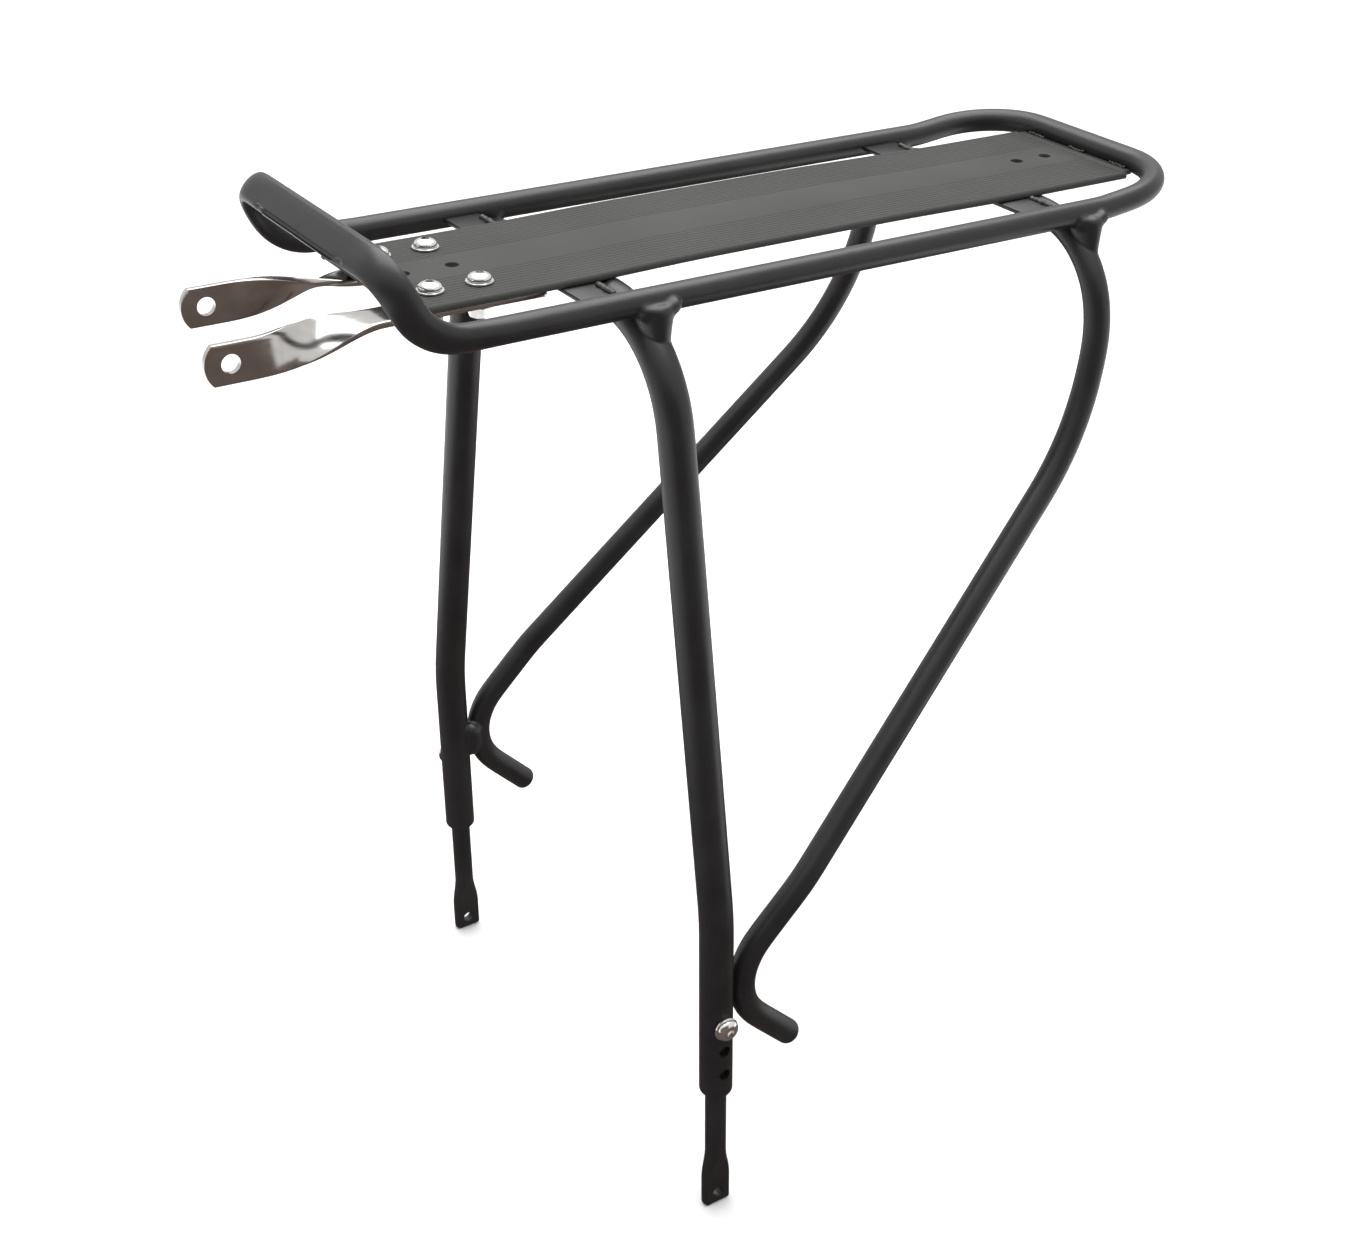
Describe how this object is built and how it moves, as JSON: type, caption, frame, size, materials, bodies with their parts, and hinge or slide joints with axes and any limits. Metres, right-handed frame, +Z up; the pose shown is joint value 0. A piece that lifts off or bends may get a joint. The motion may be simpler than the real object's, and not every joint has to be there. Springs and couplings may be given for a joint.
{
  "type": "bicycle rear rack",
  "caption": "Bicycle rear rack with welded tube rails, ribbed deck plate, leg and stay hoops, sliding height-adjusting struts and two sliding arms.",
  "frame": {"origin": "midway between the two foot eyelets", "axes": "+X towards the front of the bicycle, +Y to its left along the eyelets' common axis, +Z up; side rails level"},
  "size_m": [0.4271, 0.2496, 0.4268],
  "materials": {
    "black_powder_coat": "satin black powder coat",
    "plated_screws": "bright nickel plate",
    "plated_washers": "zinc plate",
    "stainless_strip": "polished stainless"
  },
  "bodies": {
    "rack": {"rail_loop": "black_powder_coat", "deck_plate": "black_powder_coat", "front_leg_hoop": "black_powder_coat", "rear_stay_hoop": "black_powder_coat", "front_cross_strip": "black_powder_coat", "rear_cross_strip": "black_powder_coat", "left_front_saddle": "black_powder_coat", "right_front_saddle": "black_powder_coat", "left_rear_saddle": "black_powder_coat", "right_rear_saddle": "black_powder_coat", "left_stay_gusset": "black_powder_coat", "right_stay_gusset": "black_powder_coat", "strip_welds": "black_powder_coat", "rear_bar_welds": "black_powder_coat", "deck_screws": "plated_screws", "deck_head_washers": "plated_washers", "deck_nut_washers": "plated_washers", "deck_nuts": "plated_washers", "left_clamp_screw": "plated_screws", "right_clamp_screw": "plated_screws", "left_clamp_washer": "plated_washers", "right_clamp_washer": "plated_washers"},
    "left_strut": {"left_strut": "black_powder_coat"},
    "right_strut": {"right_strut": "black_powder_coat"},
    "left_arm": {"left_arm": "stainless_strip"},
    "right_arm": {"right_arm": "stainless_strip"}
  },
  "joints": [
    {"name": "left_strut_slide", "type": "slide", "parent": "rack", "child": "left_strut", "axis": [-0.0329, 0, -0.9995], "range_m": [0, 0.025]},
    {"name": "right_strut_slide", "type": "slide", "parent": "rack", "child": "right_strut", "axis": [-0.0329, 0, -0.9995], "range_m": [0, 0.025]},
    {"name": "left_arm_slide", "type": "slide", "parent": "rack", "child": "left_arm", "axis": [1, 0, 0], "range_m": [-0.0134, 0.0156]},
    {"name": "right_arm_slide", "type": "slide", "parent": "rack", "child": "right_arm", "axis": [1, 0, 0], "range_m": [0, 0.029]}
  ]
}
